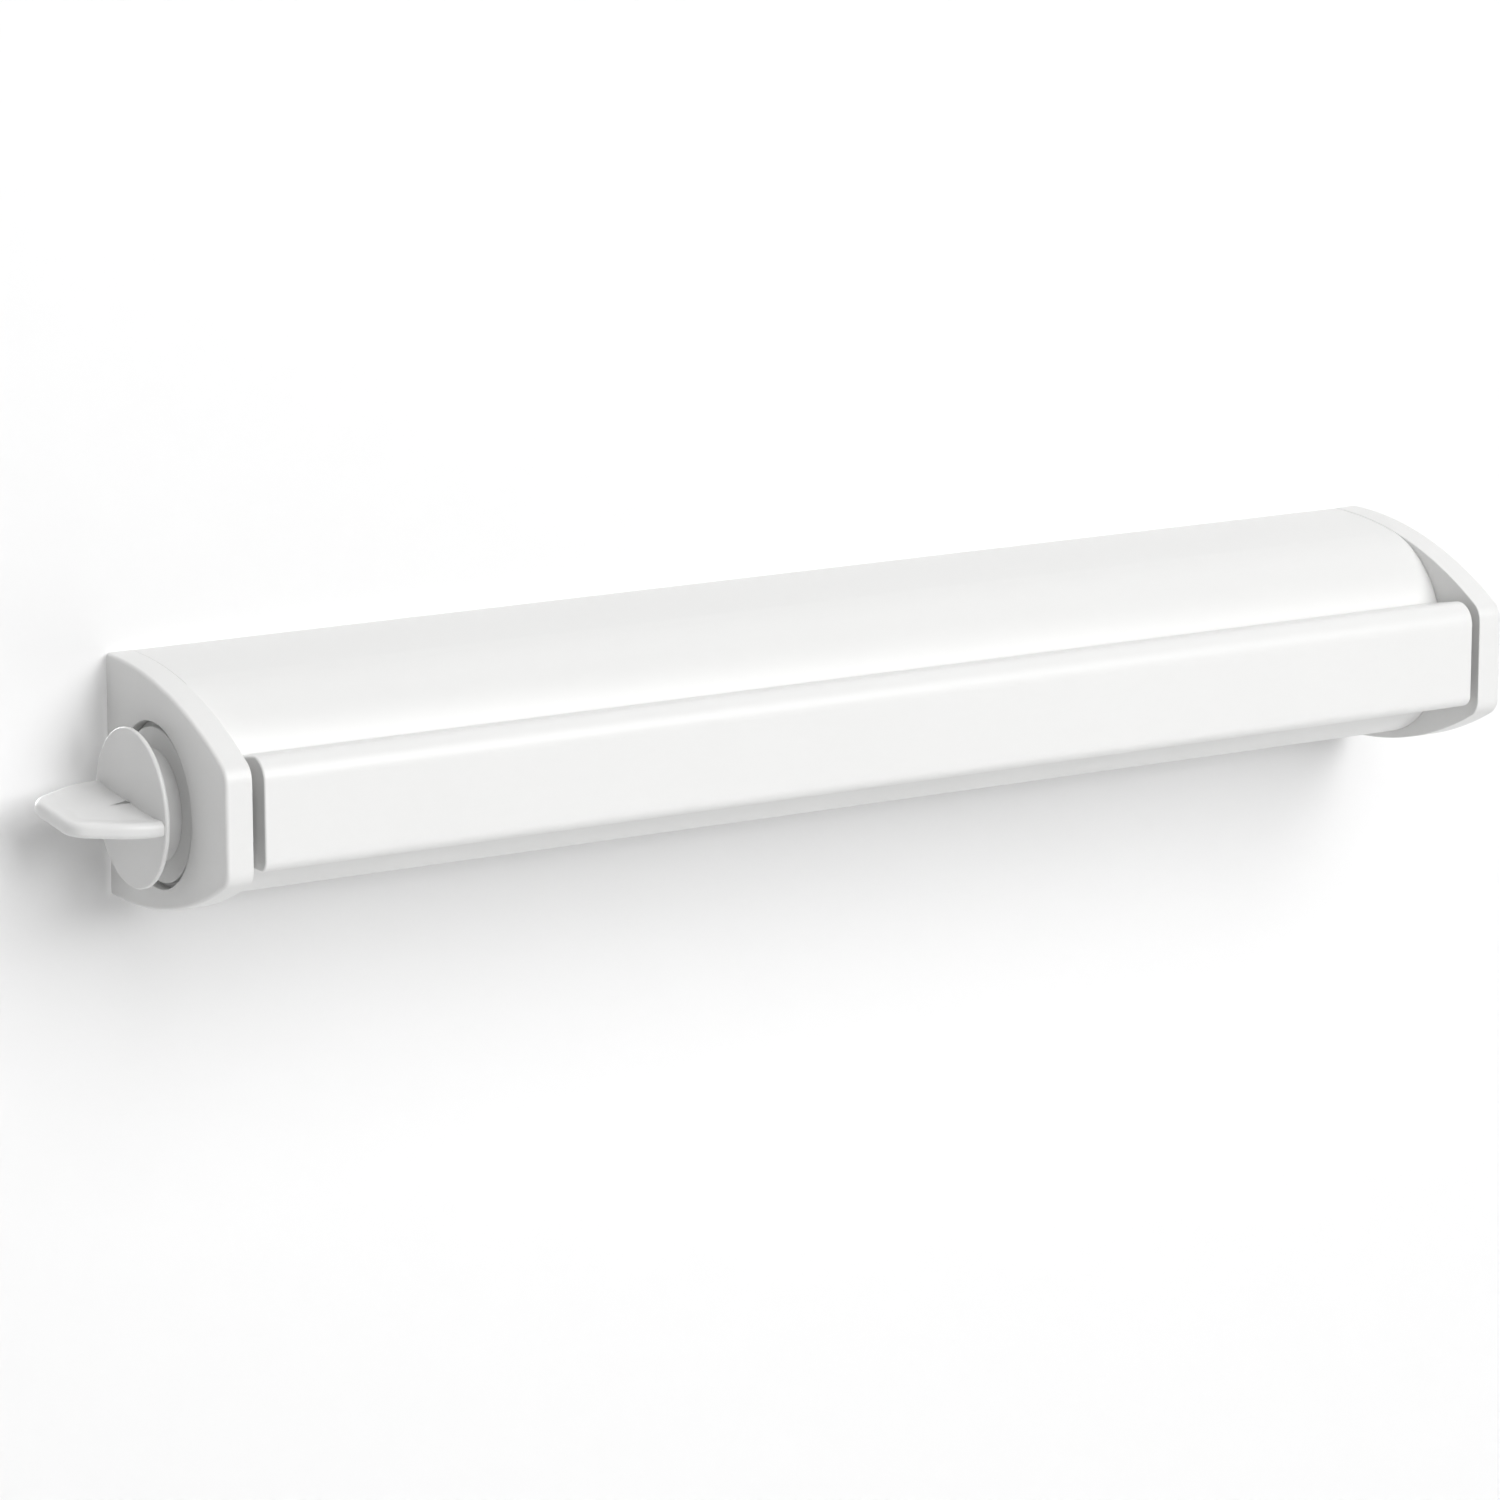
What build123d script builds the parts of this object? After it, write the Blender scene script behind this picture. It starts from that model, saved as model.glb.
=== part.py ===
"""Wall-mounted retractable clothesline.

A spring roller turns on a steel arbor inside a moulded housing. Five lines run from the roller
through eyelets in the front cover to a pull-out bar. A wing knob on the left end drops a pawl into
a ratchet wheel to lock the roller. Millimetres: +X along the length, -Y out of the wall, +Z up.
The origin is the centre of the four wall screws, on the wall face.
"""

import os
from math import asin, atan2, cos, degrees, hypot, radians, sin, sqrt, tan

from build123d import *

os.makedirs("parts", exist_ok=True)

# ---------------------------------------------------------------- driving dimensions
# housing, over all
length = 500.0  # outer face to outer face of the end caps
half_height = 40.75

# end caps
cap_thickness = 9.5
cap_flat = 6.9  # level run beside the wall, before the top starts to curve
cap_arc_radius = 156.2  # long curve of the top and the bottom
cap_corner_radius = 6.8
cap_edge_radius = 1.3
cap_inner_edge_radius = 0.4
cap_skin = 3.5  # wall left outside the pocket

# front cover, a half-round shell between the caps
cover_wall = 2.2
cover_centre_y = -29.0
cover_centre_z = 1.3
cover_flush_step = 0.15  # the cover lies this much under the end caps
cover_end_chamfer = 0.25

# back plate and wall screws
plate_thickness = 3.0
screw_spacing_x = 410.0
screw_spacing_z = 52.0
screw_hole_radius = 2.6
screw_boss_radius = 6.0
screw_boss_height = 1.5
rib_height = 4.0
rib_width = 2.0
rib_height_z = 14.0  # ribs above and below the middle

# side plates inside the caps
side_plate_thickness = 3.0
side_plate_fit = 0.2
cap_screw_radius = 1.5
cap_screw_head_radius = 2.8
cap_screw_head_height = 1.9
cap_screw_bite = 6.0
cap_screw_from_wall = 9.0  # the two rear screws
cap_screw_from_cover = 6.4
front_screw_from_cover = 4.2
front_screw_angle = 116.8  # about the cover's centre

# roller
roller_forward = 1.29  # in front of the middle between the back plate and the cover
axis_z = -3.0
arbor_radius = 4.0
running_gap = 0.06
bush_wall = 2.0
bush_length = 14.0
roller_end_gap = 0.8
tube_wall = 1.5
plug_flange = 4.0
plug_spigot = 16.0
plug_nose_radius = 8.0
divider_gap = 2.4  # divider discs to the inside of the cover
divider_thickness = 1.6
divider_stand = 2.4  # divider rim above the wound line

# lines
line_count = 5
line_diameter = 2.6
turns_per_layer = 22
layer_rise = 0.87  # the second layer nests in the first, as a share of the diameter
turn_pitch = 1.02  # as a share of the diameter
spool_end_margin = 15.0  # outer spools to the ends of the tube
line_height = 6.0  # above the middle of the housing
line_bend_radius = 8.0
line_in_cover = 3.0  # straight run behind the front of the cover
line_stop_before_roller = 6.0
eyelet_gap = 0.7
eyelet_wall = 2.4
eyelet_flange_radius = 6.2
eyelet_flange_thickness = 1.0
eyelet_stand = 0.5
eyelet_tail = 3.6

# pull-out bar
bar_depth = 22.47  # front of the cover to the front of the bar
bar_end_gap = 3.7  # each end of the bar to its end cap
bar_top = 22.7  # where the front and the top would meet if they were not rounded
bar_top_slope = 12.2  # the top falls towards the cover
bar_bottom = -16.1
bar_proud = 0.9  # in front of the end caps
bar_wall = 2.4
bar_top_radius = 7.4
bar_bottom_radius = 4.5
bar_end_radius = 0.7
bar_cover_gap = 0.5
rail_gap = 2.6
rail_thickness = 2.0
hook_slot_length = 24.0
hook_slot_height = 9.0
hook_slot_spacing = 300.0
ferrule_wall = 1.3
ferrule_length = 8.0

# ratchet and pawl, angles from the wall side upwards about the roller axis
ratchet_teeth = 24
ratchet_tip_radius = 15.0
ratchet_root_radius = 12.8
ratchet_thickness = 4.0
ratchet_face_angle = 72.0  # foot of the steep face that the pawl catches
ratchet_rake = 4.6  # the face leans back along the path of the pawl's nose
pawl_pivot_radius = 22.5
pawl_pivot_angle = 105.0
pawl_hub_radius = 3.8
pawl_swing = 14.0
pawl_side_gap = 0.3
pawl_pin_radius = 2.0
pawl_tip_gap = 0.5  # nose to the root of the teeth
pawl_seat_angle = 1.4  # nose to the foot of the tooth that it holds
pawl_spring_thickness = 0.5
spring_post_radius = 1.4
spring_post_stand = 6.2  # beyond the pawl's pivot, from the roller axis
spring_post_angle = 84.0
spring_leaf_rise = 2.2  # leaf above and below the middle of its post
spring_leaf_drop = 2.0
spring_nose_stand = 6.2  # where the leaf rests on the pawl, above the teeth
spring_nose_angle = 76.0

# knob
knob_standoff = 6.8  # end cap to the back of the knob disc
knob_disc_radius = 26.4
knob_disc_thickness = 1.8
knob_neck_radius = 18.4
knob_flange_radius = 25.6
knob_hole_radius = 27.4
knob_recess = 1.0  # flange front behind the face of the cap
knob_lip_radius = 28.7
knob_lip_thickness = 1.8
knob_pocket_radius = 29.5
knob_end_gap = 0.3
knob_hub_radius = 7.5
knob_spigot_radius = 9.0
knob_web = 1.8
knob_hub_stand = 0.5  # hub clear of the side plate
knob_bore_gap = 0.2  # bottom of the bore behind the lip
arbor_end_gap = 0.8  # screw head to the end of the arbor
knob_flange_edge_radius = 0.5
knob_rim_edge_radius = 0.7
knob_screw_radius = 1.5
knob_screw_head_radius = 3.4
knob_screw_head_height = 1.8
knob_screw_length = 6.5
knob_tilt = 4.5  # the wing's front end hangs lower
knob_turn = 60.0
finger_radius = 2.0
finger_circle = 23.5
finger_angle = 132.0
finger_slot_gap = 0.5

# wing on the knob
wing_reach = 28.5
wing_half_root = 25.7
wing_root_run = 8.0
wing_half_tip = 14.8
wing_thickness = 5.2
wing_shoulder_radius = 16.0
wing_tip_radius = 7.0
wing_edge_radius = 2.3
wing_dish_depth = 1.2
wing_dish_inset = 5.2
wing_dish_wall = 2.2

# return spring
spring_wire = 1.4
spring_radius = 9.0
spring_pitch = 6.0
spring_turns = 18
spring_end_gap = 0.4
anchor_radius = 12.0
anchor_length = 8.0
anchor_spigot_length = 5.0
clip_thickness = 1.0
clip_radius = 6.5
clip_groove_depth = 0.8
clip_mouth = 5.2
arbor_end_stand = 1.2  # beyond the clip
anchor_fit = 0.3  # spring coils to the anchor's spigot

# ---------------------------------------------------------------- derived places
half_length = length / 2
cap_inner_x = half_length - cap_thickness
side_plate_inner_x = cap_inner_x - side_plate_thickness
skin_inner_x = half_length - cap_skin

# the cover's front curve is tangent to the long curve of the caps
arc_centre = (-cap_flat, half_height - cap_arc_radius)
cover_offset = (cover_centre_y - arc_centre[0], cover_centre_z - arc_centre[1])
cover_tangent_angle = degrees(atan2(cover_offset[1], cover_offset[0]))
cover_radius = cap_arc_radius - cover_flush_step - hypot(*cover_offset)
cover_front = cover_centre_y - cover_radius
cover_top = half_height - cover_flush_step
cover_bottom = cover_centre_z - cover_radius
bar_front = cover_front - bar_depth
depth = -bar_front - bar_proud  # wall to the front of the end caps

# the roller lies between the back plate and the cover, as large as the cover leaves room for
axis_y = (cover_front + cover_wall - plate_thickness) / 2 - roller_forward
axis_offset = hypot(axis_y - cover_centre_y, axis_z - cover_centre_z)
divider_radius = cover_radius - cover_wall - axis_offset - divider_gap
winding_radius = divider_radius - divider_stand
layer_step = layer_rise * line_diameter
tube_radius = winding_radius - line_diameter - layer_step
tube_bore = tube_radius - tube_wall
line_wrap_radius = winding_radius - line_diameter / 2
bush_radius = arbor_radius + bush_wall
plug_end_x = side_plate_inner_x - roller_end_gap
tube_half = plug_end_x - ratchet_thickness - plug_flange
spool_width = (turns_per_layer + 0.5) * turn_pitch * line_diameter
line_spacing = (2 * (tube_half - spool_end_margin) - spool_width) / (line_count - 1)
line_places = [(i - (line_count - 1) / 2) * line_spacing for i in range(line_count)]

# bar
bar_half = cap_inner_x - bar_end_gap
bar_middle = (bar_top + bar_bottom) / 2
rail_back = cover_front - rail_gap
rail_front = rail_back - rail_thickness
ferrule_end = rail_front - ferrule_length

# knob, outwards from the left end cap
disc_back_x = -half_length - knob_standoff
disc_front_x = disc_back_x - knob_disc_thickness
flange_front_x = -half_length + knob_recess
lip_front_x = -skin_inner_x + knob_end_gap
lip_back_x = lip_front_x + knob_lip_thickness
hub_end_x = -cap_inner_x - knob_hub_stand
bore_bottom_x = lip_front_x + knob_bore_gap
spigot_end_x = bore_bottom_x - knob_web
arbor_left_x = bore_bottom_x + knob_screw_head_height + arbor_end_gap

roller_line = Axis((0, axis_y, axis_z), (1, 0, 0))
roller_centre = (0, axis_y, axis_z)
# half sections of turned pieces: local x along the roller, local y the radius
turning_plane = Plane(origin=roller_centre, x_dir=(1, 0, 0), z_dir=(0, 0, 1))


def polar(radius, angle, centre=(0.0, 0.0)):
    """The point at a radius and an angle in degrees about a centre."""
    return (centre[0] + radius * cos(radians(angle)), centre[1] + radius * sin(radians(angle)))


def cap_height(y):
    """Half height of the end cap at a distance y from the wall, on its long curve."""
    return arc_centre[1] + sqrt(cap_arc_radius**2 - (y + cap_flat) ** 2)


def cap_outline():
    """Side outline of an end cap: flat back, long curved top and bottom, flat front."""
    middle = -(cap_flat + depth) / 2
    with BuildSketch() as outline:
        with BuildLine():
            Line((0, 0), (0, half_height))
            Line((0, half_height), (-cap_flat, half_height))
            ThreePointArc(
                (-cap_flat, half_height), (middle, cap_height(middle)), (-depth, cap_height(-depth))
            )
            Line((-depth, cap_height(-depth)), (-depth, 0))
            mirror(about=Plane.XZ)
        make_face()
        fillet(outline.vertices().group_by(Axis.X)[0], cap_corner_radius)
    return outline.sketch


def cover_section(inset):
    """Side section of the cover, with its skin moved inwards by inset."""
    long_radius = cap_arc_radius - cover_flush_step - inset
    front_radius = cover_radius - inset
    top = cover_top - inset
    bottom = cover_centre_z - front_radius
    sweep_back = 270 - cover_tangent_angle
    with BuildSketch() as section:
        with BuildLine():
            Line((0, bottom), (0, top))
            Line((0, top), (-cap_flat, top))
            CenterArc(arc_centre, long_radius, 90, cover_tangent_angle - 90)
            CenterArc((cover_centre_y, cover_centre_z), front_radius, cover_tangent_angle, sweep_back)
            Line((cover_centre_y, bottom), (0, bottom))
        make_face()
    return section.sketch


def place_at_axis(y, z):
    """A point given from the roller axis, in the side view."""
    return (axis_y + y, axis_z + z)


# three screws hold each side plate to its cap, in the corners that the roller leaves free
cap_screw_places = [
    (-cap_screw_from_wall, cover_top - cover_wall - cap_screw_from_cover),
    (-cap_screw_from_wall, cover_bottom + cover_wall + cap_screw_from_cover),
    polar(
        cover_radius - cover_wall - front_screw_from_cover,
        front_screw_angle,
        (cover_centre_y, cover_centre_z),
    ),
]

# ---------------------------------------------------------------- housing
with BuildPart() as back_plate:
    plate_top = cover_top - cover_wall
    plate_bottom = cover_bottom + cover_wall
    with BuildSketch(Plane.XZ):
        with Locations((0, (plate_top + plate_bottom) / 2)):
            Rectangle(2 * cap_inner_x, plate_top - plate_bottom)
    extrude(amount=plate_thickness)
    with BuildSketch(Plane.XZ.offset(plate_thickness)):
        with Locations((0, rib_height_z), (0, -rib_height_z)):
            Rectangle(2 * side_plate_inner_x, rib_width)
    extrude(amount=rib_height)
    with BuildSketch(Plane.XZ.offset(plate_thickness)):
        with GridLocations(screw_spacing_x, screw_spacing_z, 2, 2):
            Circle(screw_boss_radius)
    extrude(amount=screw_boss_height)
    with BuildSketch(Plane.XZ):
        with GridLocations(screw_spacing_x, screw_spacing_z, 2, 2):
            Circle(screw_hole_radius)
    extrude(amount=plate_thickness + screw_boss_height, mode=Mode.SUBTRACT)

with BuildPart() as front_cover:
    with BuildSketch(Plane.YZ.offset(-cap_inner_x)):
        add(cover_section(0))
        add(cover_section(cover_wall), mode=Mode.SUBTRACT)
    extrude(amount=2 * cap_inner_x)
    cover_ends = front_cover.faces().filter_by(Axis.X).sort_by(Axis.X)
    chamfer(cover_ends[0].edges() + cover_ends[-1].edges(), cover_end_chamfer)
    with BuildSketch(Plane.XZ):
        with Locations([(x, line_height) for x in line_places]):
            Circle(line_diameter / 2 + eyelet_gap + eyelet_wall)
    extrude(amount=depth, mode=Mode.SUBTRACT)

with BuildPart() as left_end_cap:
    with BuildSketch(Plane.YZ.offset(-half_length)):
        add(cap_outline())
    extrude(amount=cap_thickness)
    cap_faces = left_end_cap.faces().filter_by(Axis.X).sort_by(Axis.X)
    outer_edges = cap_faces[0].edges().filter_by(lambda e: e.center().Y < -1)
    inner_edges = cap_faces[-1].edges().filter_by(lambda e: e.center().Y < -1)
    fillet(outer_edges, cap_edge_radius)
    fillet(inner_edges, cap_inner_edge_radius)
    with BuildSketch(Plane.YZ.offset(-half_length)):
        with Locations(place_at_axis(0, 0)):
            Circle(knob_hole_radius)
    extrude(amount=cap_thickness, mode=Mode.SUBTRACT)
    with BuildSketch(Plane.YZ.offset(-skin_inner_x)):
        with Locations(place_at_axis(0, 0)):
            Circle(knob_pocket_radius)
    extrude(amount=cap_thickness, mode=Mode.SUBTRACT)
    hole_rims = left_end_cap.edges().filter_by(GeomType.CIRCLE).filter_by(
        lambda e: abs(e.radius - knob_hole_radius) < 0.01
    )
    fillet(hole_rims.sort_by(Axis.X)[0], cap_inner_edge_radius)
    with BuildSketch(Plane.YZ.offset(-cap_inner_x)):
        with Locations(cap_screw_places):
            Circle(cap_screw_radius)
    extrude(amount=-cap_screw_bite, mode=Mode.SUBTRACT)

with BuildPart() as right_end_cap:
    with BuildSketch(Plane.YZ.offset(half_length)):
        add(cap_outline())
    extrude(amount=-cap_thickness)
    cap_faces = right_end_cap.faces().filter_by(Axis.X).sort_by(Axis.X)
    outer_edges = cap_faces[-1].edges().filter_by(lambda e: e.center().Y < -1)
    inner_edges = cap_faces[0].edges().filter_by(lambda e: e.center().Y < -1)
    fillet(outer_edges, cap_edge_radius)
    fillet(inner_edges, cap_inner_edge_radius)
    with BuildSketch(Plane.YZ.offset(skin_inner_x)):
        with Locations(place_at_axis(0, 0)):
            Circle(knob_pocket_radius)
    extrude(amount=-cap_thickness, mode=Mode.SUBTRACT)
    with BuildSketch(Plane.YZ.offset(cap_inner_x)):
        with Locations(cap_screw_places):
            Circle(cap_screw_radius)
    extrude(amount=cap_screw_bite, mode=Mode.SUBTRACT)


def side_plate_outline():
    """A side plate fills the cover's section in front of the back plate."""
    with BuildSketch() as outline:
        add(cover_section(cover_wall + side_plate_fit))
        with Locations((0, 0)):
            Rectangle(2 * plate_thickness, 4 * half_height, mode=Mode.SUBTRACT)
        with Locations(cap_screw_places):
            Circle(cap_screw_radius, mode=Mode.SUBTRACT)
        with Locations(place_at_axis(0, 0)):
            Circle(arbor_radius, mode=Mode.SUBTRACT)
    return outline.sketch


pawl_pivot = polar(pawl_pivot_radius, pawl_pivot_angle, (axis_y, axis_z))
spring_post = polar(pawl_pivot_radius + spring_post_stand, spring_post_angle, (axis_y, axis_z))
ratchet_left_x = -plug_end_x
pawl_left_x = ratchet_left_x + pawl_side_gap
pawl_width = ratchet_thickness - 2 * pawl_side_gap

with BuildPart() as left_side_plate:
    with BuildSketch(Plane.YZ.offset(-cap_inner_x)):
        add(side_plate_outline())
        with Locations(pawl_pivot):
            Circle(pawl_pin_radius, mode=Mode.SUBTRACT)
        with BuildLine(mode=Mode.PRIVATE) as finger_path:
            CenterArc((axis_y, axis_z), finger_circle, finger_angle, knob_turn)
        SlotArc(finger_path.edges()[0], 2 * (finger_radius + finger_slot_gap), mode=Mode.SUBTRACT)
    extrude(amount=side_plate_thickness)
    with BuildSketch(Plane.YZ.offset(-side_plate_inner_x)):
        with Locations(spring_post):
            Circle(spring_post_radius)
    extrude(amount=roller_end_gap + ratchet_thickness - pawl_side_gap)

with BuildPart() as right_side_plate:
    with BuildSketch(Plane.YZ.offset(cap_inner_x)):
        add(side_plate_outline())
    extrude(amount=-side_plate_thickness)

with BuildPart() as cap_screws:
    for side in (-1, 1):
        inward = -side
        with BuildSketch(Plane.YZ.offset(side * (cap_inner_x + cap_screw_bite))):
            with Locations(cap_screw_places):
                Circle(cap_screw_radius)
        extrude(amount=inward * (cap_screw_bite + side_plate_thickness))
        with BuildSketch(Plane.YZ.offset(side * side_plate_inner_x)):
            with Locations(cap_screw_places):
                Circle(cap_screw_head_radius)
        extrude(amount=inward * cap_screw_head_height)

with BuildPart() as line_eyelets:
    eyelet_bore = line_diameter / 2 + eyelet_gap
    flange_back = cover_front - eyelet_stand
    with BuildSketch(Plane.XZ.offset(-flange_back)):
        with Locations([(x, line_height) for x in line_places]):
            Circle(eyelet_flange_radius)
            Circle(eyelet_bore, mode=Mode.SUBTRACT)
    extrude(amount=eyelet_flange_thickness)
    with BuildSketch(Plane.XZ.offset(-flange_back)):
        with Locations([(x, line_height) for x in line_places]):
            Circle(eyelet_bore + eyelet_wall)
            Circle(eyelet_bore, mode=Mode.SUBTRACT)
    extrude(amount=-(eyelet_stand + eyelet_tail))

with BuildPart() as pawl_pin:
    with BuildSketch(Plane.YZ.offset(-cap_inner_x)):
        with Locations(pawl_pivot):
            Circle(pawl_pin_radius)
    extrude(amount=side_plate_thickness + roller_end_gap + ratchet_thickness)

with BuildPart() as pawl_spring:
    nose_touch = polar(ratchet_tip_radius + spring_nose_stand, spring_nose_angle, (axis_y, axis_z))
    leaf_y = spring_post[0] + spring_post_radius + pawl_spring_thickness / 2
    with BuildSketch(Plane.YZ.offset(pawl_left_x)):
        with BuildLine():
            Polyline(
                (leaf_y, spring_post[1] + spring_leaf_rise),
                (leaf_y, spring_post[1] - spring_leaf_drop),
                nose_touch,
            )
        trace(line_width=pawl_spring_thickness)
    extrude(amount=pawl_width)

# ---------------------------------------------------------------- arbor and return spring
with BuildPart() as arbor:
    arbor_right_x = cap_inner_x + clip_thickness + arbor_end_stand
    groove_radius = arbor_radius - clip_groove_depth
    with BuildSketch(turning_plane):
        with BuildLine():
            Polyline(
                (arbor_left_x, 0),
                (arbor_left_x, arbor_radius),
                (cap_inner_x, arbor_radius),
                (cap_inner_x, groove_radius),
                (cap_inner_x + clip_thickness, groove_radius),
                (cap_inner_x + clip_thickness, arbor_radius),
                (arbor_right_x, arbor_radius),
                (arbor_right_x, 0),
                close=True,
            )
        make_face()
    revolve(axis=roller_line)

with BuildPart() as arbor_clip:
    with BuildSketch(Plane.YZ.offset(cap_inner_x)):
        with Locations(place_at_axis(0, 0)):
            Circle(clip_radius)
            Circle(groove_radius, mode=Mode.SUBTRACT)
        with Locations(place_at_axis(0, -clip_radius)):
            Rectangle(clip_mouth, 2 * clip_radius, mode=Mode.SUBTRACT)
    extrude(amount=clip_thickness)

spring_length = spring_turns * spring_pitch
plug_inner_x = tube_half - plug_spigot
spring_right_x = plug_inner_x - spring_end_gap - spring_wire / 2
spring_left_x = spring_right_x - spring_length
spring_bore = spring_radius - spring_wire / 2
anchor_left_x = spring_left_x - spring_wire / 2 - spring_end_gap - anchor_length

with BuildPart() as spring_anchor:
    spigot_radius = spring_bore - anchor_fit
    shoulder_x = anchor_left_x + anchor_length
    with BuildSketch(turning_plane):
        with BuildLine():
            Polyline(
                (anchor_left_x, arbor_radius),
                (anchor_left_x, anchor_radius),
                (shoulder_x, anchor_radius),
                (shoulder_x, spigot_radius),
                (shoulder_x + anchor_spigot_length, spigot_radius),
                (shoulder_x + anchor_spigot_length, arbor_radius),
                close=True,
            )
        make_face()
    revolve(axis=roller_line)

with BuildPart() as return_spring:
    coil_start = (spring_left_x, axis_y, axis_z)
    with BuildLine() as coil:
        Helix(spring_pitch, spring_length, spring_radius, center=coil_start, direction=(1, 0, 0))
    with BuildSketch(Plane(origin=coil.line @ 0, z_dir=coil.line % 0)):
        Circle(spring_wire / 2)
    sweep(path=coil.line, is_frenet=True)

# ---------------------------------------------------------------- roller
with BuildPart() as roller_tube:
    with BuildSketch(Plane.YZ.offset(-tube_half)):
        with Locations(place_at_axis(0, 0)):
            Circle(tube_radius)
            Circle(tube_bore, mode=Mode.SUBTRACT)
    extrude(amount=2 * tube_half)


def plug_section(side):
    """Half section of a roller plug: nose, flange over the tube's end, spigot inside the tube."""
    nose_x = plug_end_x
    flange_x = plug_end_x - ratchet_thickness
    with BuildSketch() as section:
        with BuildLine():
            Polyline(
                (side * nose_x, bush_radius),
                (side * nose_x, plug_nose_radius),
                (side * flange_x, plug_nose_radius),
                (side * flange_x, tube_radius),
                (side * tube_half, tube_radius),
                (side * tube_half, tube_bore),
                (side * plug_inner_x, tube_bore),
                (side * plug_inner_x, bush_radius),
                close=True,
            )
        make_face()
    return section.sketch


with BuildPart() as left_roller_plug:
    with BuildSketch(turning_plane):
        add(plug_section(-1))
    revolve(axis=roller_line)

with BuildPart() as right_roller_plug:
    with BuildSketch(turning_plane):
        add(plug_section(1))
    revolve(axis=roller_line)

with BuildPart() as roller_bushes:
    for side in (-1, 1):
        with BuildSketch(Plane.YZ.offset(side * plug_end_x)):
            with Locations(place_at_axis(0, 0)):
                Circle(bush_radius)
                Circle(arbor_radius + running_gap, mode=Mode.SUBTRACT)
        extrude(amount=-side * bush_length)

with BuildPart() as ratchet_wheel:
    tooth = 360 / ratchet_teeth
    teeth = []
    for i in range(ratchet_teeth):
        foot = ratchet_face_angle + i * tooth
        teeth.append(polar(ratchet_root_radius, foot))
        teeth.append(polar(ratchet_tip_radius, foot + 0.9 * tooth - ratchet_rake))
        teeth.append(polar(ratchet_tip_radius, foot + tooth - ratchet_rake))
    with BuildSketch(Plane.YZ.offset(ratchet_left_x)):
        with Locations(place_at_axis(0, 0)):
            Polygon(*teeth, align=None)
            Circle(plug_nose_radius, mode=Mode.SUBTRACT)
    extrude(amount=ratchet_thickness)

divider_places = []
for x in line_places:
    divider_places += [x - spool_width / 2 - divider_thickness, x + spool_width / 2]

with BuildPart() as line_dividers:
    for x in divider_places:
        with BuildSketch(Plane.YZ.offset(x)):
            with Locations(place_at_axis(0, 0)):
                Circle(divider_radius)
                Circle(tube_radius, mode=Mode.SUBTRACT)
        extrude(amount=divider_thickness)

line_windings = []
for x in line_places:
    with BuildPart() as winding:
        with BuildSketch(Plane.YZ.offset(x - spool_width / 2)):
            with Locations(place_at_axis(0, 0)):
                Circle(winding_radius)
                Circle(tube_radius, mode=Mode.SUBTRACT)
        extrude(amount=spool_width)
    line_windings.append(winding)

# ---------------------------------------------------------------- pawl
# outlines by radius and angle about the roller axis: the nose reaches down into the teeth, and
# the tail runs back inside the circle of the knob's finger
nose_angle = ratchet_face_angle + pawl_seat_angle
tail_radius = finger_circle - finger_radius - 0.8
pawl_nose = [
    polar(ratchet_root_radius + pawl_tip_gap, nose_angle),
    polar(ratchet_tip_radius + 1.2, nose_angle - ratchet_rake),
    polar(pawl_pivot_radius + 2.1, pawl_pivot_angle - 7.8),
    polar(pawl_pivot_radius - 2.2, pawl_pivot_angle + 7.0),
    polar(ratchet_tip_radius + 0.7, nose_angle + 10.6),
    polar(ratchet_tip_radius + 0.3, nose_angle + 6.1),
]
pawl_tail = [
    polar(pawl_pivot_radius + 1.6, pawl_pivot_angle + 7.6),
    polar(tail_radius - 0.3, finger_angle - 8.0),
    polar(tail_radius, finger_angle + 6.0),
    polar(tail_radius - 3.3, finger_angle + 6.0),
    polar(tail_radius - 3.5, pawl_pivot_angle + 13.0),
    polar(pawl_pivot_radius - pawl_hub_radius, pawl_pivot_angle + 1.0),
]


def from_pivot(points):
    """Points given from the roller axis, moved to the pawl's pivot."""
    pivot = polar(pawl_pivot_radius, pawl_pivot_angle)
    return [(y - pivot[0], z - pivot[1]) for y, z in points]


with BuildPart() as pawl:
    # the nose is drawn in the ratchet and stands lifted out of it by the swing
    lifted = Plane(
        origin=(pawl_left_x, *pawl_pivot),
        x_dir=(0, cos(radians(pawl_swing)), sin(radians(pawl_swing))),
        z_dir=(1, 0, 0),
    )
    with BuildSketch(lifted):
        Polygon(*from_pivot(pawl_nose), align=None)
        Circle(pawl_hub_radius)
    extrude(amount=pawl_width)
    with BuildSketch(Plane(origin=(pawl_left_x, *pawl_pivot), x_dir=(0, 1, 0), z_dir=(1, 0, 0))):
        Polygon(*from_pivot(pawl_tail), align=None)
    extrude(amount=pawl_width)
    with BuildSketch(lifted):
        Circle(pawl_pin_radius + running_gap)
    extrude(amount=pawl_width, mode=Mode.SUBTRACT)

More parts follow.
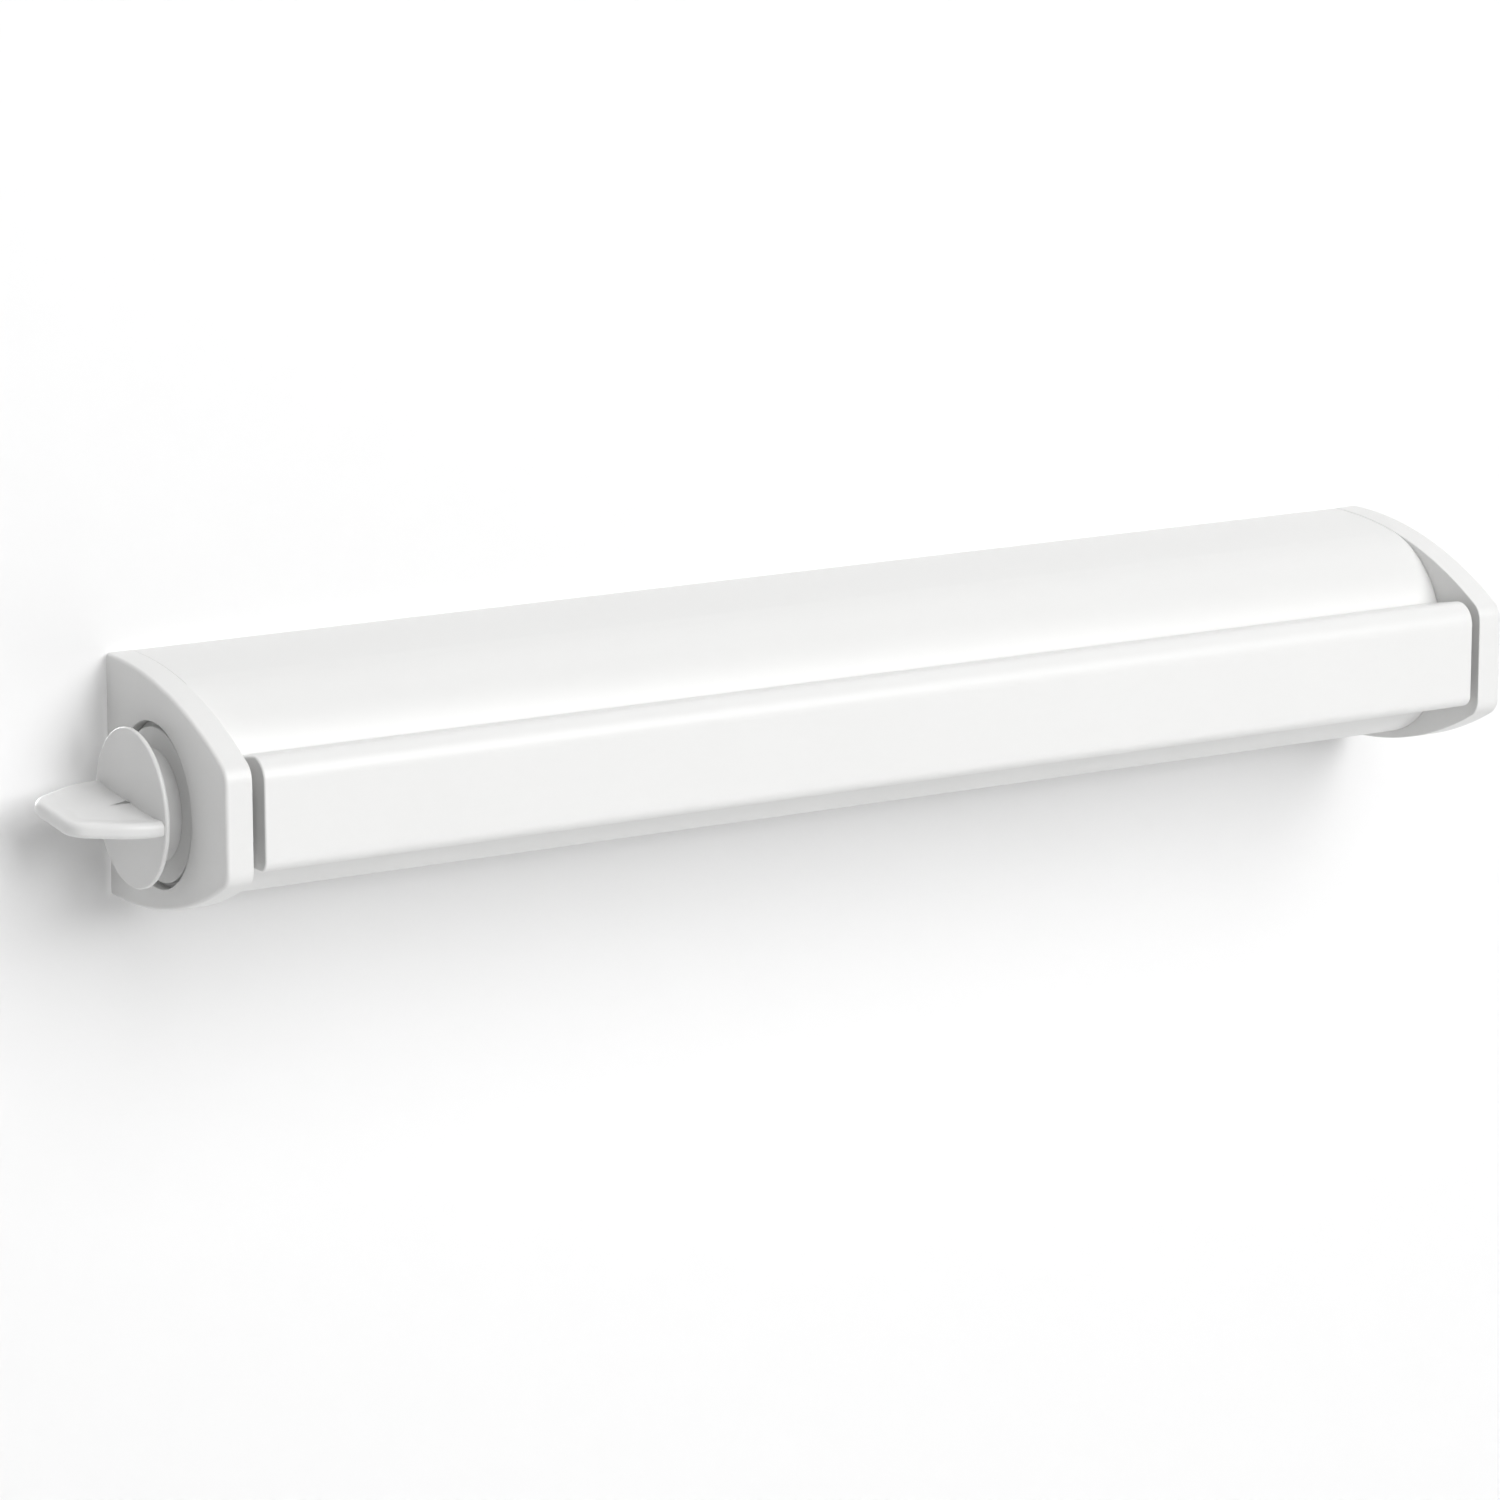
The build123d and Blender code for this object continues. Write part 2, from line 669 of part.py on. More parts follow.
# ---------------------------------------------------------------- knob
with BuildPart() as knob_base:
    with BuildSketch(turning_plane):
        with BuildLine():
            Polyline(
                (disc_back_x, knob_spigot_radius),
                (disc_back_x, knob_neck_radius),
                (flange_front_x, knob_neck_radius),
                (flange_front_x, knob_flange_radius),
                (lip_front_x, knob_flange_radius),
                (lip_front_x, knob_lip_radius),
                (lip_back_x, knob_lip_radius),
                (lip_back_x, knob_hub_radius),
                (hub_end_x, knob_hub_radius),
                (hub_end_x, arbor_radius + running_gap),
                (bore_bottom_x, arbor_radius + running_gap),
                (bore_bottom_x, knob_screw_radius),
                (spigot_end_x, knob_screw_radius),
                (spigot_end_x, knob_spigot_radius),
                close=True,
            )
        make_face()
    revolve(axis=roller_line)
    front_edges = knob_base.edges().filter_by(GeomType.CIRCLE).filter_by(
        lambda e: abs(e.center().X - flange_front_x) < 0.01 and e.radius > knob_neck_radius + 1
    )
    fillet(front_edges, knob_flange_edge_radius)
    with BuildSketch(Plane.YZ.offset(lip_back_x)):
        with Locations(polar(finger_circle, finger_angle, (axis_y, axis_z))):
            Circle(finger_radius)
    extrude(amount=pawl_left_x + pawl_width - lip_back_x)

with BuildPart() as knob_screw:
    with BuildSketch(turning_plane):
        with BuildLine():
            Polyline(
                (bore_bottom_x + knob_screw_head_height, 0),
                (bore_bottom_x + knob_screw_head_height, knob_screw_head_radius),
                (bore_bottom_x, knob_screw_head_radius),
                (bore_bottom_x, knob_screw_radius),
                (bore_bottom_x - knob_screw_length, knob_screw_radius),
                (bore_bottom_x - knob_screw_length, 0),
                close=True,
            )
        make_face()
    revolve(axis=roller_line)


def wing_outline():
    """Outline of the wing: a straight root run, shoulders, and a blunt tip."""
    tip_x = disc_front_x - wing_reach
    root_x = disc_back_x - knob_disc_thickness / 2
    shoulder_x = disc_front_x - wing_root_run
    with BuildSketch() as outline:
        Polygon(
            (root_x, wing_half_root),
            (shoulder_x, wing_half_root),
            (tip_x, wing_half_tip),
            (tip_x, -wing_half_tip),
            (shoulder_x, -wing_half_root),
            (root_x, -wing_half_root),
            align=None,
        )
        corners = outline.vertices().sort_by(Axis.X)
        fillet(corners[0:2], wing_tip_radius)
        shoulders = outline.vertices().filter_by(lambda v: abs(v.X - shoulder_x) < 0.01)
        fillet(shoulders, wing_shoulder_radius)
    return outline.sketch


wing_plane = Plane(
    origin=roller_centre,
    x_dir=(1, 0, 0),
    z_dir=(0, -sin(radians(knob_tilt)), cos(radians(knob_tilt))),
)

with BuildPart() as wing:
    with BuildSketch(wing_plane.offset(-wing_thickness / 2)):
        add(wing_outline())
    extrude(amount=wing_thickness)
    rims = wing.faces().filter_by(Axis(roller_centre, wing_plane.z_dir))
    free_edges = rims.edges().filter_by(lambda e: e.center().X < disc_front_x - 0.5)
    fillet(free_edges, wing_edge_radius)
    for face_side in (-1, 1):
        with BuildSketch(wing_plane.offset(face_side * wing_thickness / 2)):
            offset(wing_outline(), -wing_dish_inset)
            with Locations((disc_back_x - wing_dish_inset, 0)):
                Rectangle(3 * wing_dish_inset, 2 * (wing_half_root - wing_dish_inset))
        extrude(amount=-face_side * wing_dish_depth, taper=50, mode=Mode.SUBTRACT)

with BuildPart() as knob_grip:
    with BuildSketch(turning_plane):
        with BuildLine():
            Polyline(
                (disc_front_x, 0),
                (disc_front_x, knob_disc_radius),
                (disc_back_x, knob_disc_radius),
                (disc_back_x, knob_spigot_radius),
                (spigot_end_x, knob_spigot_radius),
                (spigot_end_x, knob_screw_radius),
                (bore_bottom_x - knob_screw_length, knob_screw_radius),
                (bore_bottom_x - knob_screw_length, 0),
                close=True,
            )
        make_face()
    revolve(axis=roller_line)
    rim_edges = knob_grip.edges().filter_by(GeomType.CIRCLE).filter_by(
        lambda e: e.radius > knob_disc_radius - 0.1
    )
    fillet(rim_edges, knob_rim_edge_radius)
    add(wing.part)

# ---------------------------------------------------------------- pull-out bar
def bar_section(inset):
    """Side section of the bar, with its skin moved inwards by inset, open towards the cover."""
    top_at_back = bar_top - (cover_centre_y - bar_front) * tan(radians(bar_top_slope))
    with BuildSketch() as outline:
        Polygon(
            (bar_front, bar_bottom),
            (bar_front, bar_top),
            (cover_centre_y, top_at_back),
            (cover_centre_y, bar_bottom),
            align=None,
        )
        fillet(outline.vertices().group_by(Axis.X)[0].sort_by(Axis.Y)[0], bar_bottom_radius)
        fillet(outline.vertices().sort_by(Axis.Y)[-1], bar_top_radius)
        if inset > 0:
            offset(amount=-inset, mode=Mode.REPLACE)
    return outline.sketch


with BuildPart() as bar_shell:
    with BuildSketch(Plane.YZ.offset(-bar_half)):
        add(bar_section(0))
    extrude(amount=2 * bar_half)
    bar_ends = bar_shell.faces().filter_by(Axis.X)
    fillet(bar_ends.edges().filter_by(lambda e: e.center().Y < cover_centre_y - 1), bar_end_radius)
    with BuildSketch(Plane.YZ.offset(-bar_half + bar_wall)):
        add(bar_section(bar_wall))
    extrude(amount=2 * (bar_half - bar_wall), mode=Mode.SUBTRACT)
    with BuildSketch(Plane.YZ.offset(-half_length)):
        with Locations((cover_centre_y, cover_centre_z)):
            Circle(cover_radius + bar_cover_gap)
    extrude(amount=length, mode=Mode.SUBTRACT)


def rail_length(start_x, end_x):
    """A length of the flat rail in the back of the bar, with a hole for each line."""
    with BuildPart() as strip:
        with BuildSketch(Plane.YZ.offset(start_x)):
            add(bar_section(bar_wall))
        extrude(amount=end_x - start_x)
        with BuildSketch(Plane.XZ.offset(-rail_back)):
            Rectangle(length, 4 * half_height)
        extrude(amount=rail_thickness, mode=Mode.INTERSECT)
        with BuildSketch(Plane.XZ.offset(-rail_back)):
            with Locations([(x, line_height) for x in line_places if start_x < x < end_x]):
                Circle(line_diameter / 2)
        extrude(amount=rail_thickness, mode=Mode.SUBTRACT)
    return strip.part


rail_end = bar_half - bar_wall
# each hook plate starts half way from the next line inwards to its slot
hook_plate_start = (line_places[-2] + (hook_slot_spacing - hook_slot_length) / 2) / 2

with BuildPart() as bar_rail:
    add(rail_length(-hook_plate_start, hook_plate_start))

with BuildPart() as left_hook_plate:
    add(rail_length(-rail_end, -hook_plate_start))
    with BuildSketch(Plane.XZ.offset(-rail_back)):
        with Locations((-hook_slot_spacing / 2, bar_middle)):
            SlotOverall(hook_slot_length, hook_slot_height)
    extrude(amount=rail_thickness, mode=Mode.SUBTRACT)

with BuildPart() as right_hook_plate:
    add(rail_length(hook_plate_start, rail_end))
    with BuildSketch(Plane.XZ.offset(-rail_back)):
        with Locations((hook_slot_spacing / 2, bar_middle)):
            SlotOverall(hook_slot_length, hook_slot_height)
    extrude(amount=rail_thickness, mode=Mode.SUBTRACT)

with BuildPart() as line_ferrules:
    with BuildSketch(Plane.XZ.offset(-rail_front)):
        with Locations([(x, line_height) for x in line_places]):
            Circle(line_diameter / 2 + ferrule_wall)
            Circle(line_diameter / 2, mode=Mode.SUBTRACT)
    extrude(amount=ferrule_length)

# the line runs level through its eyelet, bends up, and meets the top of the roller at a tangent
bend_centre = (cover_front + line_in_cover, line_height + line_bend_radius)
to_axis = (axis_y - bend_centre[0], axis_z - bend_centre[1])
line_slope = degrees(
    asin((line_bend_radius + line_wrap_radius) / hypot(*to_axis)) - atan2(-to_axis[1], to_axis[0])
)
bend_end = polar(line_bend_radius, line_slope - 90, bend_centre)
roller_touch = polar(line_wrap_radius, line_slope + 90, (axis_y, axis_z))
rise = (roller_touch[0] - bend_end[0], roller_touch[1] - bend_end[1])
kept = 1 - line_stop_before_roller / hypot(*rise)
line_stop = (bend_end[0] + kept * rise[0], bend_end[1] + kept * rise[1])

line_spans = []
for x in line_places:
    bend_middle = polar(line_bend_radius, line_slope / 2 - 90, bend_centre)
    with BuildPart() as span:
        with BuildLine() as route:
            Line((x, ferrule_end, line_height), (x, bend_centre[0], line_height))
            ThreePointArc((x, bend_centre[0], line_height), (x, *bend_middle), (x, *bend_end))
            Line((x, *bend_end), (x, *line_stop))
        with BuildSketch(Plane(origin=(x, ferrule_end, line_height), z_dir=(0, 1, 0))):
            Circle(line_diameter / 2)
        sweep(path=route.wire())
        with BuildSketch(Plane.YZ.offset(x - line_diameter)):
            with Locations(place_at_axis(0, 0)):
                Circle(winding_radius + running_gap)
        extrude(amount=2 * line_diameter, mode=Mode.SUBTRACT)
    line_spans.append(span)

# ---------------------------------------------------------------- files
pieces = {
    "back_plate": back_plate,
    "front_cover": front_cover,
    "left_end_cap": left_end_cap,
    "right_end_cap": right_end_cap,
    "left_side_plate": left_side_plate,
    "right_side_plate": right_side_plate,
    "cap_screws": cap_screws,
    "line_eyelets": line_eyelets,
    "pawl_pin": pawl_pin,
    "pawl_spring": pawl_spring,
    "arbor": arbor,
    "arbor_clip": arbor_clip,
    "spring_anchor": spring_anchor,
    "return_spring": return_spring,
    "roller_tube": roller_tube,
    "left_roller_plug": left_roller_plug,
    "right_roller_plug": right_roller_plug,
    "roller_bushes": roller_bushes,
    "ratchet_wheel": ratchet_wheel,
    "line_dividers": line_dividers,
    "pawl": pawl,
    "knob_base": knob_base,
    "knob_screw": knob_screw,
    "knob_grip": knob_grip,
    "bar_shell": bar_shell,
    "bar_rail": bar_rail,
    "left_hook_plate": left_hook_plate,
    "right_hook_plate": right_hook_plate,
    "line_ferrules": line_ferrules,
}
for number, winding in enumerate(line_windings, 1):
    pieces[f"line_winding_{number}"] = winding
for number, span in enumerate(line_spans, 1):
    pieces[f"line_span_{number}"] = span

for name, piece in pieces.items():
    piece.part.label = name
    export_step(piece.part, f"parts/{name}.step")
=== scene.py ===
from math import asin, atan2, cos, hypot, pi, radians, sin

import bmesh
import bpy
import numpy as np
from mathutils import Matrix, Vector


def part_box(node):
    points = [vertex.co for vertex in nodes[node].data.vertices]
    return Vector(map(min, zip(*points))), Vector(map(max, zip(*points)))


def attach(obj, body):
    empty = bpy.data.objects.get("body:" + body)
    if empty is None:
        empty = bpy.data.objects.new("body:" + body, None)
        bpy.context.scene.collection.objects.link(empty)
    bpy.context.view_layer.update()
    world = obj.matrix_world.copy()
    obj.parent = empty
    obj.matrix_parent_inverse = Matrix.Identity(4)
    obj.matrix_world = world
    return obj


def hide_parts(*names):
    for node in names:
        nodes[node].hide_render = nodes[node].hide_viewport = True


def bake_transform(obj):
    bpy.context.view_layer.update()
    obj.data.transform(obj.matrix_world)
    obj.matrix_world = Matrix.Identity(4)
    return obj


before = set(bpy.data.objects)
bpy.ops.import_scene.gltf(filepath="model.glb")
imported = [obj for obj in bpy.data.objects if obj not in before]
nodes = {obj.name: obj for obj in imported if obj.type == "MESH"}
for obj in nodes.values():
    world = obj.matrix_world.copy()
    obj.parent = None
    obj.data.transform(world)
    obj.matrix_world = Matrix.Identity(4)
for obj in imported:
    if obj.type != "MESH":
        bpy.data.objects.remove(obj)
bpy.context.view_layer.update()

# ---------------------------------------------------------------- housing: end caps and front cover
# The two end caps and the half-round cover are injection moulded in white plastic with a satin
# skin. The cover slides in between the caps, and screws through the side plates hold the caps.


class Shade:
    """A socket inside a material. An operator between two shades adds its Math node."""

    def __init__(self, tree, socket):
        self.tree = tree
        self.socket = socket

    def node(self, kind, settings, inputs, output=0):
        """Adds a node of that type with its settings, gives its sockets values or links, and
        returns one of its outputs."""
        added = self.tree.nodes.new(kind)
        for name, value in settings.items():
            setattr(added, name, value)
        for name, value in inputs.items():
            if isinstance(value, Shade):
                self.tree.links.new(value.socket, added.inputs[name])
            else:
                added.inputs[name].default_value = value
        return Shade(self.tree, added.outputs[output])

    def maths(self, operation, left, right):
        """One Math node on two values or shades."""
        return self.node("ShaderNodeMath", {"operation": operation}, {0: left, 1: right})

    def __add__(self, other):
        return self.maths("ADD", self, other)

    def __radd__(self, other):
        return self.maths("ADD", other, self)

    def __mul__(self, other):
        return self.maths("MULTIPLY", self, other)

    def __rmul__(self, other):
        return self.maths("MULTIPLY", other, self)

    def noise(self, scale, detail=2.0, stretch=(1, 1, 1)):
        """Noise from 0 to 1 with about that many blobs to the metre. self is a place."""
        placed = self.node("ShaderNodeMapping", {}, {"Vector": self, "Scale": stretch})
        inputs = {"Vector": placed, "Scale": scale, "Detail": detail}
        return self.node("ShaderNodeTexNoise", {}, inputs)

    def blend(self, first, second):
        """The colour first where self is 0, and second where it is 1."""
        return self.node(
            "ShaderNodeMix", {"data_type": "RGBA"}, {0: self, 6: (*first, 1), 7: (*second, 1)}, 2
        )


def finish_with(name, colour, roughness, **fixed):
    """A material with one shader, whose fixed values go on its own sockets.

    Returns the material, its place on the object, and a function that links what varies.
    """
    material = bpy.data.materials.new(name)
    material.use_nodes = True
    tree = material.node_tree
    shader = tree.nodes["Principled BSDF"]
    shader.inputs["Base Color"].default_value = (*colour, 1)
    shader.inputs["Roughness"].default_value = roughness
    for socket, value in fixed.items():
        shader.inputs[socket.replace("_", " ")].default_value = value
    coordinates = tree.nodes.new("ShaderNodeTexCoord")

    def vary(**shades):
        """Links each shade to the shader's socket of that name."""
        for socket, shade in shades.items():
            tree.links.new(shade.socket, shader.inputs[socket.replace("_", " ")])

    return material, Shade(tree, coordinates.outputs["Object"]), vary


def bumps(place, heights, distance):
    """A normal from heights between 0 and 1, where 1 stands that distance proud, in metres."""
    inputs = {"Strength": 1.0, "Distance": distance, "Height": heights}
    return place.node("ShaderNodeBump", {}, inputs)


def moulded(name, colour, roughness, grain=0.000012, mottle=0.035):
    """Moulded plastic: fine grain and a slow ripple, grain metres deep, and a sheen that drifts.

    The colour falls by the share mottle where cloudy patches and rubbed streaks meet.
    """
    material, place, vary = finish_with(name, colour, roughness, IOR=1.49)
    clouds = place.noise(14, 3)
    streaks = place.noise(160, 4, (1, 2.4, 2.4))
    spark_grain = place.noise(2600, 3)
    ripple = place.noise(420, 2)
    darker = tuple(c * (1 - mottle) for c in colour)
    vary(
        Base_Color=(clouds * 0.6 + streaks * 0.4).blend(darker, colour),
        Roughness=roughness - 0.05 + clouds * 0.06 + streaks * 0.05,
        Normal=bumps(place, spark_grain * 0.55 + ripple * 0.45, grain),
    )
    return material


def paint(material, *names):
    """Gives CAD nodes their material."""
    for name in names:
        mesh = nodes[name].data
        mesh.materials.clear()
        mesh.materials.append(material)


white = (0.775, 0.775, 0.768)
housing_plastic = moulded("housing_plastic", white, 0.38)
paint(housing_plastic, "left_end_cap", "right_end_cap", "front_cover")

# ---------------------------------------------------------------- back plate
# A flat moulded plate with ribs and four screw bosses, held between the side plates. Its back
# stands against the wall and keeps the dull skin of the mould.

back_plastic = moulded("back_plastic", (0.70, 0.70, 0.69), 0.55, grain=0.00003, mottle=0.06)
paint(back_plastic, "back_plate")

# ---------------------------------------------------------------- inner plastic
# Side plates, roller plugs and the spring's anchor are grey filled nylon, duller and rougher than
# the outside. The dividers on the roller are natural plastic rings.

inner_plastic = moulded("inner_plastic", (0.34, 0.35, 0.36), 0.6, grain=0.00003, mottle=0.12)
paint(
    inner_plastic,
    "left_side_plate",
    "right_side_plate",
    "left_roller_plug",
    "right_roller_plug",
    "spring_anchor",
)
divider_plastic = moulded("divider_plastic", (0.60, 0.59, 0.55), 0.5, mottle=0.08)
paint(divider_plastic, "line_dividers")

# ---------------------------------------------------------------- ratchet, pawl and bushes
# The wheel, the pawl and the two bushes are cream acetal, a slippery plastic that wears to a
# shine. The bushes are pressed into the roller's plugs, and the pawl swings on a steel pin.

acetal, place, vary = finish_with("acetal", (0.66, 0.62, 0.51), 0.36, IOR=1.48)
wear = place.noise(300, 4)
vary(
    Base_Color=wear.blend((0.60, 0.56, 0.45), (0.68, 0.64, 0.54)),
    Roughness=0.28 + wear * 0.16,
    Normal=bumps(place, place.noise(1500, 3), 0.00002),
)
paint(acetal, "ratchet_wheel", "pawl", "roller_bushes")

# ---------------------------------------------------------------- steel pieces
# Bright drawn metal for the arbor, the pawl's pin and the roller's tube, zinc on the screws and the
# clip, and dark oiled wire for the springs. Fine lines run along the drawn pieces.


def steel(name, colour, roughness, stretch, line_depth):
    """Metal with fine drawn lines: noise stretched along one direction, and darker stains."""
    material, place, vary = finish_with(name, colour, roughness, Metallic=1.0)
    lines = place.noise(900, 4, stretch)
    stain = place.noise(70, 3)
    stained = 0.86
    darker = tuple(c * stained for c in colour)
    vary(
        Base_Color=(stain * 0.7 + lines * 0.3).blend(darker, colour),
        Roughness=roughness - 0.06 + lines * 0.1 + stain * 0.05,
        Normal=bumps(place, lines, line_depth),
    )
    return material


drawn_steel = steel("drawn_steel", (0.60, 0.60, 0.61), 0.3, (0.02, 1, 1), 0.00001)
paint(drawn_steel, "arbor", "pawl_pin")
zinc = steel("zinc", (0.66, 0.66, 0.63), 0.38, (1, 1, 1), 0.000012)
paint(zinc, "cap_screws", "knob_screw", "arbor_clip")
spring_steel = steel("spring_steel", (0.34, 0.34, 0.35), 0.35, (0.3, 1, 1), 0.00001)
paint(spring_steel, "return_spring", "pawl_spring")
tube_metal = steel("tube_metal", (0.72, 0.72, 0.73), 0.34, (0.015, 1, 1), 0.000014)
paint(tube_metal, "roller_tube")

# ---------------------------------------------------------------- lines on the roller
# Each line is a smooth white cord with a plastic sheath over a braided core. It lies on its spool
# in a full inner layer, and comes back over it in a second layer that ends at the middle.

span_low, span_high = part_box("line_span_1")
line_half = (span_high.x - span_low.x) / 2
tube_low, tube_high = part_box("roller_tube")
axis_y = (tube_low.y + tube_high.y) / 2
axis_z = (tube_low.z + tube_high.z) / 2
tube_radius = (tube_high.z - tube_low.z) / 2
winding_low, winding_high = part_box("line_winding_1")
outer_radius = (winding_high.z - winding_low.z) / 2 - line_half
inner_radius = tube_radius + line_half
turns_out = 22.67
turns_back = turns_out / 2
points_per_turn = 34

line_numbers = range(1, 6)
line_height = 0.006
bend_radius = 0.008
bend_inside_cover = 0.003
bend_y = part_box("front_cover")[0].y + bend_inside_cover

same_point = 1e-7
no_length = 1e-8
sharp_angle = radians(38)

line_plastic, place, vary = finish_with("line_plastic", (0.76, 0.77, 0.76), 0.34, IOR=1.52)
weave = place.noise(1900, 3)
vary(
    Base_Color=place.noise(120, 3).blend((0.70, 0.71, 0.70), (0.78, 0.79, 0.78)),
    Roughness=0.28 + weave * 0.14,
    Normal=bumps(place, weave, 0.00003),
)


def skin(name, grid, material, round_u=False, round_v=True):
    """A mesh of quads through a grid of points, one row of points for each u and one place in it
    for each v. round_u joins the last row to the first, and round_v closes each row on itself.
    Where the rows aren't joined, the first and the last are closed by a fan to their middle point.
    """
    rows, columns = grid.shape[:2]
    points = grid.reshape(-1, 3)
    index = np.arange(rows * columns).reshape(rows, columns)
    down = np.vstack([index, index[:1]]) if round_u else index
    across = np.hstack([down, down[:, :1]]) if round_v else down
    quads = np.stack([across[:-1, :-1], across[:-1, 1:], across[1:, 1:], across[1:, :-1]], -1)
    faces = quads.reshape(-1, 4).tolist()
    if not round_u:
        middles = grid[[0, -1]].mean(1)
        for row, middle in ((across[0], len(points)), (across[-1], len(points) + 1)):
            fan = np.stack([row[1:], row[:-1], np.full(len(row) - 1, middle)], -1)
            faces += fan.tolist()
        points = np.vstack([points, middles])
    mesh = bpy.data.meshes.new(name)
    mesh.from_pydata(points.tolist(), [], faces)
    shell = bmesh.new()
    shell.from_mesh(mesh)
    bmesh.ops.remove_doubles(shell, verts=shell.verts, dist=same_point)
    bmesh.ops.dissolve_degenerate(shell, edges=shell.edges, dist=no_length)
    bmesh.ops.recalc_face_normals(shell, faces=shell.faces)
    shell.to_mesh(mesh)
    shell.free()
    mesh.shade_smooth()
    mesh.set_sharp_from_angle(angle=sharp_angle)
    mesh.materials.append(material)
    piece = bpy.data.objects.new(name, mesh)
    bpy.context.scene.collection.objects.link(piece)
    return piece


def cord_skin(path, outward, radius, sides=8):
    """A tube: at each point of the path stands a circle. Its first axis is outward, square to the
    path, and its second is square to both."""
    along = np.gradient(path, axis=0)
    along /= np.linalg.norm(along, axis=1, keepdims=True)
    side = np.cross(along, outward)
    side /= np.linalg.norm(side, axis=1, keepdims=True)
    up = np.cross(side, along)
    turn = np.linspace(0, 2 * pi, sides, endpoint=False)
    rings = np.cos(turn)[None, :, None] * up[:, None] + np.sin(turn)[None, :, None] * side[:, None]
    return path[:, None] + radius * rings


def s_curve(share):
    """Rises from 0 to 1 and is level at both ends: three squares less two cubes of the share."""
    return share * share * (3 - 2 * share)


# the line runs level through its eyelet, bends up, and meets the roller at a tangent
bend_z = line_height + bend_radius
to_axis = (axis_y - bend_y, axis_z - bend_z)
slope = asin((bend_radius + outer_radius) / hypot(*to_axis)) - atan2(-to_axis[1], to_axis[0])
touch_angle = slope + pi / 2


def wound_line(x_low, x_high):
    """A helix out along the spool and half way back: the angle grows evenly, x runs up and then
    down, and over the half turn before x turns round the radius rises to the outer layer on an
    S curve."""
    left = x_low + line_half
    turn_pitch = (x_high - x_low - 2 * line_half) / turns_out
    turns = turns_out + turns_back
    turn = np.linspace(0, turns, int(points_per_turn * turns))
    x = left + turn_pitch * np.where(turn < turns_out, turn, 2 * turns_out - turn)
    rise = np.clip(turn - turns_out + 0.5, 0, 0.5) * 2
    radius = inner_radius + (outer_radius - inner_radius) * s_curve(rise)
    angle = touch_angle - 2 * pi * (turns - turn)
    outward = np.stack([np.zeros_like(angle), np.cos(angle), np.sin(angle)], 1)
    path = np.array([0, axis_y, axis_z]) + radius[:, None] * outward
    path[:, 0] = x
    return cord_skin(path, outward, line_half)


for number in line_numbers:
    low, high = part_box(f"line_winding_{number}")
    wound = skin(f"line_{number}_wound", wound_line(low.x, high.x), line_plastic)
    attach(wound, "roller")
    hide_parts(f"line_winding_{number}")

# ---------------------------------------------------------------- lines between roller and bar
# The free stretch of each line leaves the top of its spool, bends level, passes its eyelet and is
# held in the bar. It grows as the bar is pulled out, drawn tight by the roller's spring.

eyelet_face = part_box("line_eyelets")[0].y
rail_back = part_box("bar_rail")[1].y
line_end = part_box("line_ferrules")[0].y


def line_x(number):
    """The x of a line: the middle of its straight stretch."""
    low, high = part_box(f"line_span_{number}")
    return (low.x + high.x) / 2


def free_line(x):
    """A tangent from the roller, an arc of the bend radius, and a level run to the bar."""
    touch = (axis_y + outer_radius * cos(touch_angle), axis_z + outer_radius * sin(touch_angle))
    sweep = np.linspace(slope, 0, 9)
    arc = np.stack([bend_y + bend_radius * np.sin(sweep), bend_z - bend_radius * np.cos(sweep)], 1)
    tangent = np.linspace(touch, arc[0], 6)[:-1]
    inside = np.linspace(bend_y, eyelet_face, 5)[1:]
    outside = np.linspace(eyelet_face, rail_back, 9)[1:]
    level_y = np.concatenate([inside, outside, [line_end]])
    level = np.stack([level_y, np.full_like(level_y, line_height)], 1)
    run = np.vstack([tangent, arc, level])
    path = np.column_stack([np.full(len(run), x), run])
    sideways = np.broadcast_to(np.array([1.0, 0, 0]), path.shape)
    return cord_skin(path, sideways, line_half, sides=16)


for number in line_numbers:
    x = line_x(number)
    run = skin(f"line_{number}_run", free_line(x), line_plastic)
    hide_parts(f"line_span_{number}")
    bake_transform(run)

# ---------------------------------------------------------------- eyelets
# Five smooth nylon bushes pressed into the cover. Each has a flared mouth, so that the line slides
# over a round edge and never over the cut in the cover.

eyelet_nylon = moulded("eyelet_nylon", (0.66, 0.67, 0.67), 0.3)
eyelet_low, eyelet_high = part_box("line_eyelets")
eyelet_length = eyelet_high.y - eyelet_low.y
flange_radius = (eyelet_high.z - eyelet_low.z) / 2
flange_thickness = 0.0010
eyelet_bore = line_half + 0.0007
sleeve_radius = eyelet_bore + 0.0024
mouth_flare = 0.0009
tail_flare = 0.0004
flare_length = 0.0012
eyelet_rounding = 0.0006


def turned(profile, origin, along, sides=48):
    """A lathe: each point of the profile, a place along the axis and a radius, is carried round
    the axis through origin."""
    along = np.array(along, float)
    across = np.array([0, 0, 1.0])
    other = np.cross(along, across)
    turn = np.linspace(0, 2 * pi, sides, endpoint=False)
    ring = np.cos(turn)[:, None] * across + np.sin(turn)[:, None] * other
    profile = np.array(profile)
    return np.array(origin) + profile[:, :1, None] * along + profile[:, 1:, None] * ring[None]


